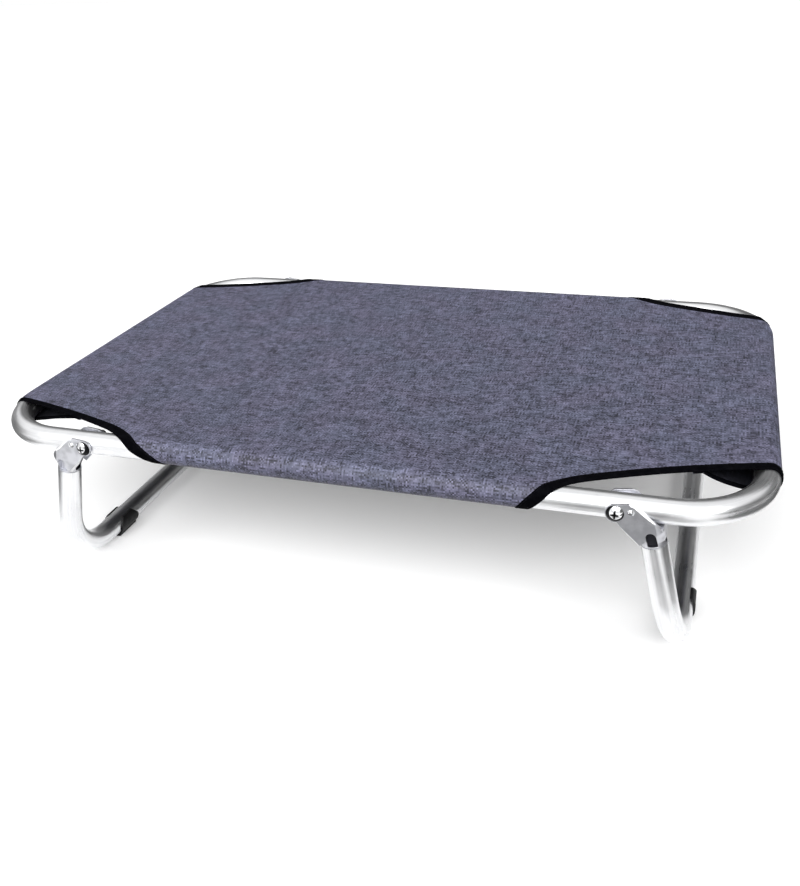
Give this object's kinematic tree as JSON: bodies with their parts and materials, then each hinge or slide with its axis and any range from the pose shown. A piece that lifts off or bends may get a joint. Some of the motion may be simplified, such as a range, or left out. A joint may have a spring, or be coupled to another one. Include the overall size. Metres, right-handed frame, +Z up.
{
  "type": "raised dog cot",
  "caption": "Raised pet cot: taut fabric cover with bound corner cut-outs, sleeved on a bent tube frame with splayed U-shaped legs that fold flat underneath.",
  "frame": {"origin": "on the floor, under the middle of the frame", "axes": "+X along the cot, +Y towards its rear long side, +Z up"},
  "size_m": [0.9292, 0.6266, 0.2156],
  "materials": {
    "tube": "satin drawn tube",
    "fabric": "melange plain weave",
    "binding": "woven tape",
    "casting": "satin grey die-casting",
    "chrome": "polished",
    "steel": "zinc plated",
    "foot": "matt black"
  },
  "bodies": {
    "frame": {"left_half_frame": "tube", "right_half_frame": "tube", "front_joint_spigot": "tube", "rear_joint_spigot": "tube", "cover": "fabric", "left_front_binding": "binding", "left_front_pivot_screw": "chrome", "left_front_pivot_nut": "steel", "left_front_pivot_washer": "steel", "left_front_pivot_spacer": "steel", "right_front_binding": "binding", "right_front_pivot_screw": "chrome", "right_front_pivot_nut": "steel", "right_front_pivot_washer": "steel", "right_front_pivot_spacer": "steel", "left_rear_binding": "binding", "left_rear_pivot_screw": "chrome", "left_rear_pivot_nut": "steel", "left_rear_pivot_washer": "steel", "left_rear_pivot_spacer": "steel", "right_rear_binding": "binding", "right_rear_pivot_screw": "chrome", "right_rear_pivot_nut": "steel", "right_rear_pivot_washer": "steel", "right_rear_pivot_spacer": "steel"},
    "left_leg": {"left_leg": "tube", "left_front_knuckle": "casting", "left_front_detent_rivets": "chrome", "left_front_leg_rivet": "steel", "left_front_foot": "foot", "left_rear_knuckle": "casting", "left_rear_detent_rivets": "chrome", "left_rear_leg_rivet": "steel", "left_rear_foot": "foot"},
    "right_leg": {"right_leg": "tube", "right_front_knuckle": "casting", "right_front_detent_rivets": "chrome", "right_front_leg_rivet": "steel", "right_front_foot": "foot", "right_rear_knuckle": "casting", "right_rear_detent_rivets": "chrome", "right_rear_leg_rivet": "steel", "right_rear_foot": "foot"}
  },
  "joints": [
    {"name": "left_leg_fold", "type": "hinge", "parent": "frame", "child": "left_leg", "pos_m": [-0.306, 0, 0.2], "axis": [0, -1, 0], "range_deg": [0, 102]},
    {"name": "right_leg_fold", "type": "hinge", "parent": "frame", "child": "right_leg", "pos_m": [0.306, 0, 0.2], "axis": [0, 1, 0], "range_deg": [0, 102]}
  ]
}
